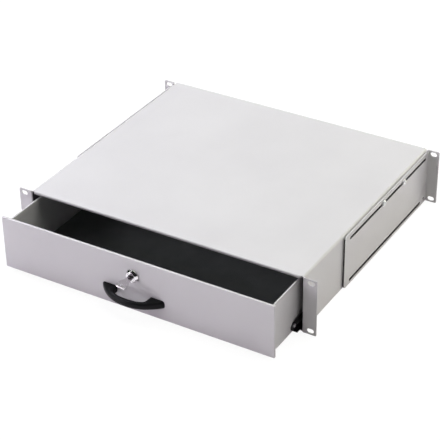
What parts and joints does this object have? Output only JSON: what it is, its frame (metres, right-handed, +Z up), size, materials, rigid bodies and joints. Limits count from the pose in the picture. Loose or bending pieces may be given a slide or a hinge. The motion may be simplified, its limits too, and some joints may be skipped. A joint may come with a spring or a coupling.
{
  "type": "rack keyboard drawer",
  "caption": "Lockable sheet-steel drawer on ball slides in a rack housing with slotted front ears and sliding rear brackets, with a bow handle and a black mat.",
  "frame": {"origin": "centre of the four front rack slots, on the front plane of the ears", "axes": "+X to the right seen from the front, +Y from the front to the back of the rack, +Z up"},
  "size_m": [0.4826, 0.4947, 0.088],
  "materials": {
    "powder_coat": "light grey fine-textured powder coat, satin",
    "rail_black": "black coated slide steel, satin",
    "zinc_steel": "bright zinc plate, satin",
    "chrome_bright": "polished chrome plate",
    "key_nickel": "nickel plate, satin",
    "plastic_black": "moulded black plastic, satin",
    "rubber_black": "matt black rubber"
  },
  "bodies": {
    "housing": {"housing_shell": "powder_coat", "rear_panel": "powder_coat", "cable_grommet": "rubber_black", "rear_panel_rivets": "zinc_steel", "left_housing_rail": "rail_black", "right_housing_rail": "rail_black", "lock_strike": "zinc_steel", "glide_tapes": "rubber_black", "bracket_spacers": "zinc_steel", "bracket_washers": "zinc_steel", "bracket_bolts": "zinc_steel", "rivet_nuts": "zinc_steel"},
    "left_bracket": {"left_rear_bracket": "powder_coat"},
    "right_bracket": {"right_rear_bracket": "powder_coat"},
    "left_cage": {"left_ball_cage": "zinc_steel", "left_balls": "chrome_bright"},
    "right_cage": {"right_ball_cage": "zinc_steel", "right_balls": "chrome_bright"},
    "drawer": {"drawer_tray": "powder_coat", "drawer_mat": "rubber_black", "front_panel": "powder_coat", "weld_studs": "zinc_steel", "panel_nuts": "zinc_steel", "pull_handle": "plastic_black", "handle_screws": "zinc_steel", "left_drawer_rail": "rail_black", "right_drawer_rail": "rail_black", "drawer_rail_rivets": "zinc_steel", "lock_body": "chrome_bright", "lock_nut": "zinc_steel"},
    "lock_cylinder": {"lock_plug": "chrome_bright", "lock_cam": "zinc_steel", "cam_screw": "zinc_steel"},
    "key": {"key": "key_nickel"}
  },
  "joints": [
    {"name": "drawer_slide", "type": "slide", "parent": "housing", "child": "drawer", "axis": [0, -1, 0], "range_m": [-0.0676, 0.1724]},
    {"name": "left_cage_slide", "type": "slide", "parent": "housing", "child": "left_cage", "axis": [0, -1, 0], "range_m": [-0.0338, 0.0862]},
    {"name": "right_cage_slide", "type": "slide", "parent": "housing", "child": "right_cage", "axis": [0, -1, 0], "range_m": [-0.0338, 0.0862]},
    {"name": "left_bracket_slide", "type": "slide", "parent": "housing", "child": "left_bracket", "axis": [0, 1, 0], "range_m": [-0.07, 0.1]},
    {"name": "right_bracket_slide", "type": "slide", "parent": "housing", "child": "right_bracket", "axis": [0, 1, 0], "range_m": [-0.07, 0.1]},
    {"name": "lock_turn", "type": "hinge", "parent": "drawer", "child": "lock_cylinder", "pos_m": [0, -0.0726, 0.015], "axis": [0, -1, 0], "range_deg": [0, 90]},
    {"name": "key_pull", "type": "slide", "parent": "lock_cylinder", "child": "key", "axis": [0, -1, 0], "range_m": [0, 0.03]}
  ],
  "couplings": [
    {"joint": "left_cage_slide", "follows": "drawer_slide", "ratio": 0.5},
    {"joint": "right_cage_slide", "follows": "drawer_slide", "ratio": 0.5}
  ]
}
